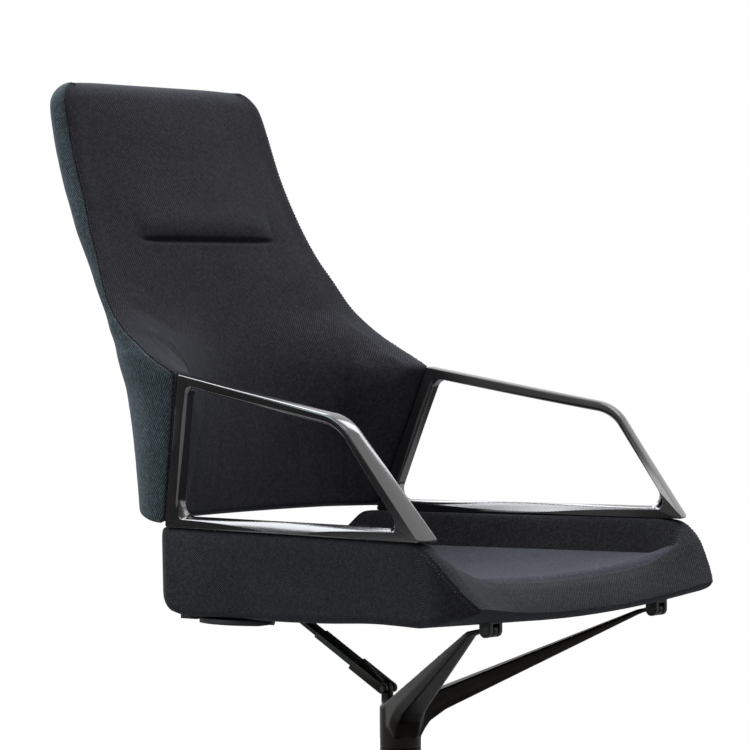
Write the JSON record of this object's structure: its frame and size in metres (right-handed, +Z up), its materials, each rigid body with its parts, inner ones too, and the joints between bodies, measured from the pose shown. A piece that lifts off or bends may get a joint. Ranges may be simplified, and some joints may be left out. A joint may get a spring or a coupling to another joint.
{
  "type": "office chair",
  "caption": "High-backed swivel armchair: upholstered back that wraps to the arms, slanted metal loop armrests, deep seat on a two-armed hub with gas spring and star base.",
  "frame": {"origin": "on the floor at the axis of the gas spring", "axes": "+Z up, the sitter looks along -Y, the sitter's left hand on +X"},
  "size_m": [0.6186, 0.8083, 1.102],
  "materials": {
    "charcoal_fabric": "fine diagonal twill, matte",
    "bronze_metal": "dark bronze, polished faces with bright bevels",
    "satin_hub_metal": "dark bronze grey, satin",
    "black_steel": "black powder coat",
    "bright_steel": "ground",
    "black_plastic": "fine grain, moulded",
    "pale_plastic": "moulded, unpainted",
    "black_rubber": "matte",
    "tread_plastic": "soft tread, matte"
  },
  "bodies": {
    "base": {"star_base": "bronze_metal", "stand_tube": "black_steel", "guide_bush": "pale_plastic", "thrust_bearing": "bright_steel", "castor_stem_1": "bright_steel", "castor_stem_2": "bright_steel", "castor_stem_3": "bright_steel", "castor_stem_4": "bright_steel", "castor_stem_5": "bright_steel"},
    "piston": {"piston_rod": "bright_steel", "retaining_clip": "bright_steel"},
    "hub": {"pressure_cylinder": "black_steel", "hub_spider": "satin_hub_metal", "column_cover": "satin_hub_metal", "tilt_bushes": "black_plastic", "strut_pin": "bright_steel"},
    "seat": {"tilt_brackets": "black_steel", "tilt_pins": "bright_steel", "strut_bracket": "black_steel", "strut_top_pin": "bright_steel", "bracket_screws": "bright_steel", "seat_shell": "charcoal_fabric", "seat_cushion": "charcoal_fabric", "left_arm": "bronze_metal", "right_arm": "bronze_metal", "arm_screws": "bright_steel", "back_shell": "charcoal_fabric", "back_cushion": "charcoal_fabric", "paddle_pin": "bright_steel", "paddle_bracket": "black_plastic", "stop_pads": "black_rubber"},
    "strut_lower": {"strut_housing": "satin_hub_metal", "strut_stage": "black_plastic"},
    "strut_upper": {"strut_rod": "satin_hub_metal"},
    "paddle": {"height_paddle": "black_plastic"},
    "release": {"release_pin": "bright_steel"},
    "castor_1": {"castor_body_1": "black_plastic", "castor_axle_1": "bright_steel"},
    "left_wheel_1": {"left_wheel_1": "tread_plastic"},
    "right_wheel_1": {"right_wheel_1": "tread_plastic"},
    "castor_2": {"castor_body_2": "black_plastic", "castor_axle_2": "bright_steel"},
    "left_wheel_2": {"left_wheel_2": "tread_plastic"},
    "right_wheel_2": {"right_wheel_2": "tread_plastic"},
    "castor_3": {"castor_body_3": "black_plastic", "castor_axle_3": "bright_steel"},
    "left_wheel_3": {"left_wheel_3": "tread_plastic"},
    "right_wheel_3": {"right_wheel_3": "tread_plastic"},
    "castor_4": {"castor_body_4": "black_plastic", "castor_axle_4": "bright_steel"},
    "left_wheel_4": {"left_wheel_4": "tread_plastic"},
    "right_wheel_4": {"right_wheel_4": "tread_plastic"},
    "castor_5": {"castor_body_5": "black_plastic", "castor_axle_5": "bright_steel"},
    "left_wheel_5": {"left_wheel_5": "tread_plastic"},
    "right_wheel_5": {"right_wheel_5": "tread_plastic"}
  },
  "joints": [
    {"name": "swivel", "type": "hinge", "parent": "base", "child": "piston", "pos_m": [0, 0, 0.1], "axis": [0, 0, 1], "continuous": true},
    {"name": "seat_height", "type": "slide", "parent": "piston", "child": "hub", "axis": [0, 0, 1], "range_m": [-0.04, 0.05], "stiffness_N_per_m": 60000},
    {"name": "seat_tilt", "type": "hinge", "parent": "hub", "child": "seat", "pos_m": [0, -0.289, 0.38517], "axis": [-1, 0, 0], "range_deg": [0, 10], "stiffness_Nm_per_rad": 200, "springref_deg": -34.38},
    {"name": "strut_swing", "type": "hinge", "parent": "hub", "child": "strut_lower", "pos_m": [0, 0.022, 0.2765], "axis": [-1, 0, 0], "range_deg": [0, 25]},
    {"name": "strut_slide", "type": "slide", "parent": "strut_lower", "child": "strut_upper", "axis": [0, -0.8661, -0.4999], "range_m": [0, 0.0363]},
    {"name": "height_paddle", "type": "hinge", "parent": "seat", "child": "paddle", "pos_m": [-0.1905, 0.12, 0.3775], "axis": [0, 1, 0], "range_deg": [0, 6]},
    {"name": "release_press", "type": "slide", "parent": "hub", "child": "release", "axis": [0, 0, -1], "range_m": [0, 0.003], "stiffness_N_per_m": 150, "springref_m": -0.0015},
    {"name": "castor_swivel_1", "type": "hinge", "parent": "base", "child": "castor_1", "pos_m": [0, 0.3, 0.06], "axis": [0, 0, 1], "continuous": true},
    {"name": "left_roll_1", "type": "hinge", "parent": "castor_1", "child": "left_wheel_1", "pos_m": [0.014, 0.319, 0.027], "axis": [1, 0, 0], "continuous": true},
    {"name": "right_roll_1", "type": "hinge", "parent": "castor_1", "child": "right_wheel_1", "pos_m": [-0.014, 0.319, 0.027], "axis": [1, 0, 0], "continuous": true},
    {"name": "castor_swivel_2", "type": "hinge", "parent": "base", "child": "castor_2", "pos_m": [-0.28532, 0.0927, 0.06], "axis": [0, 0, 1], "continuous": true},
    {"name": "left_roll_2", "type": "hinge", "parent": "castor_2", "child": "left_wheel_2", "pos_m": [-0.27132, 0.1117, 0.027], "axis": [1, 0, 0], "continuous": true},
    {"name": "right_roll_2", "type": "hinge", "parent": "castor_2", "child": "right_wheel_2", "pos_m": [-0.29932, 0.1117, 0.027], "axis": [1, 0, 0], "continuous": true},
    {"name": "castor_swivel_3", "type": "hinge", "parent": "base", "child": "castor_3", "pos_m": [-0.17634, -0.24271, 0.06], "axis": [0, 0, 1], "continuous": true},
    {"name": "left_roll_3", "type": "hinge", "parent": "castor_3", "child": "left_wheel_3", "pos_m": [-0.16234, -0.2237, 0.027], "axis": [1, 0, 0], "continuous": true},
    {"name": "right_roll_3", "type": "hinge", "parent": "castor_3", "child": "right_wheel_3", "pos_m": [-0.19034, -0.2237, 0.027], "axis": [1, 0, 0], "continuous": true},
    {"name": "castor_swivel_4", "type": "hinge", "parent": "base", "child": "castor_4", "pos_m": [0.17634, -0.24271, 0.06], "axis": [0, 0, 1], "continuous": true},
    {"name": "left_roll_4", "type": "hinge", "parent": "castor_4", "child": "left_wheel_4", "pos_m": [0.19034, -0.2237, 0.027], "axis": [1, 0, 0], "continuous": true},
    {"name": "right_roll_4", "type": "hinge", "parent": "castor_4", "child": "right_wheel_4", "pos_m": [0.16234, -0.2237, 0.027], "axis": [1, 0, 0], "continuous": true},
    {"name": "castor_swivel_5", "type": "hinge", "parent": "base", "child": "castor_5", "pos_m": [0.28532, 0.0927, 0.06], "axis": [0, 0, 1], "continuous": true},
    {"name": "left_roll_5", "type": "hinge", "parent": "castor_5", "child": "left_wheel_5", "pos_m": [0.29932, 0.1117, 0.027], "axis": [1, 0, 0], "continuous": true},
    {"name": "right_roll_5", "type": "hinge", "parent": "castor_5", "child": "right_wheel_5", "pos_m": [0.27132, 0.1117, 0.027], "axis": [1, 0, 0], "continuous": true}
  ],
  "couplings": [
    {"joint": "strut_swing", "follows": "seat_tilt", "ratio": 2.48},
    {"joint": "strut_slide", "follows": "seat_tilt", "m_per_rad": 0.206},
    {"joint": "height_paddle", "follows": "release_press", "rad_per_m": 34.9}
  ]
}
